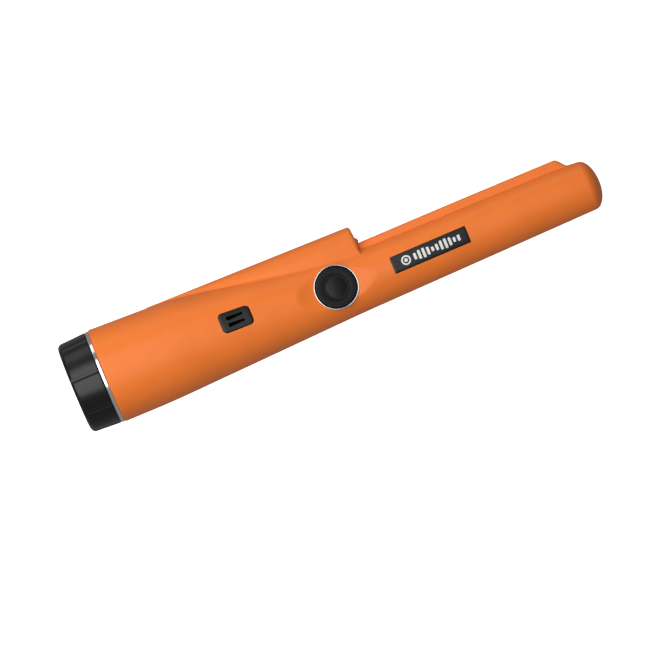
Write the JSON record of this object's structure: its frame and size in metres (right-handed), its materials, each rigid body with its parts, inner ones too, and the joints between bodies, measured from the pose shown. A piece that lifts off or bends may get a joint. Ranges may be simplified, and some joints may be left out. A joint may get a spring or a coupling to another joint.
{
  "type": "pinpointer probe",
  "caption": "Hand-held pinpointer probe: tapered body with screw-on battery cap, thumb button, sound outlet, LED shoulder, scraping rib and a search coil in its round tip.",
  "frame": {"origin": "on the surface that the probe lies on, under the middle of its box", "axes": "+X along the body from the battery cap to the tip, +Y towards the LED shoulder and the rib, +Z out through the button"},
  "size_m": [0.23, 0.04, 0.04],
  "materials": {
    "housing_plastic": "satin moulded",
    "black_plastic": "satin moulded",
    "bright_metal": "polished",
    "black_rubber": "soft matt",
    "clear_lens": "clear",
    "label_film": "printed film",
    "foam": "open-cell foam",
    "battery_steel": "lacquered tinplate",
    "cell_metal": "bare cans",
    "brass": "bright",
    "board": "solder resist",
    "component_black": "moulded",
    "component_cream": "fired",
    "capacitor_sleeve": "shrink sleeve",
    "lead_red": "insulation",
    "lead_black": "insulation",
    "lead_blue": "insulation",
    "tinned_wire": "tinned",
    "ferrite": "sintered",
    "former_plastic": "moulded",
    "copper_wire": "enamelled",
    "membrane": "fine dark gauze"
  },
  "bodies": {
    "root": {"housing": "housing_plastic", "threaded_collar": "black_plastic", "trim_ring": "bright_metal", "o_ring": "black_rubber", "battery_can": "battery_steel", "battery_cells": "cell_metal", "battery_terminals": "bright_metal", "contact_leaves": "brass", "contact_plate": "board", "battery_cradle": "component_black", "chassis": "component_black", "main_board": "board", "board_screws": "bright_metal", "controller_chips": "component_black", "crystal": "bright_metal", "capacitors": "capacitor_sleeve", "small_components": "component_cream", "switch_body": "component_black", "button_bezel": "bright_metal", "button_sleeve": "black_plastic", "buzzer": "component_black", "sound_duct": "black_rubber", "vent_membrane": "membrane", "vent_insert": "black_plastic", "led": "clear_lens", "led_seal": "black_rubber", "led_leads": "tinned_wire", "vibration_motor": "bright_metal", "motor_leads": "lead_blue", "battery_lead_red": "lead_red", "battery_lead_black": "lead_black", "ferrite_rod": "ferrite", "coil_former": "former_plastic", "transmit_winding": "copper_wire", "receive_windings": "copper_wire", "rod_supports": "component_black", "coil_leads": "copper_wire", "tip_cushion": "foam", "label": "label_film"},
    "button": {"button_cap": "black_rubber", "switch_plunger": "former_plastic"},
    "cap_carrier": {"cap_pad": "foam"},
    "cap": {"battery_cap": "black_plastic"}
  },
  "joints": [
    {"name": "button_press", "type": "slide", "parent": "root", "child": "button", "axis": [-0.0852, 0, -0.9964], "range_m": [0, 0.001], "stiffness_N_per_m": 1200, "springref_m": -0.0005},
    {"name": "cap_travel", "type": "slide", "parent": "root", "child": "cap_carrier", "axis": [-1, 0, 0], "range_m": [0, 0.00801]},
    {"name": "cap_screw", "type": "hinge", "parent": "cap_carrier", "child": "cap", "pos_m": [-0.11, 0, 0.02], "axis": [-1, 0, 0], "range_deg": [0, 720]}
  ],
  "couplings": [
    {"joint": "cap_travel", "follows": "cap_screw", "m_per_rad": 0.00063662}
  ]
}
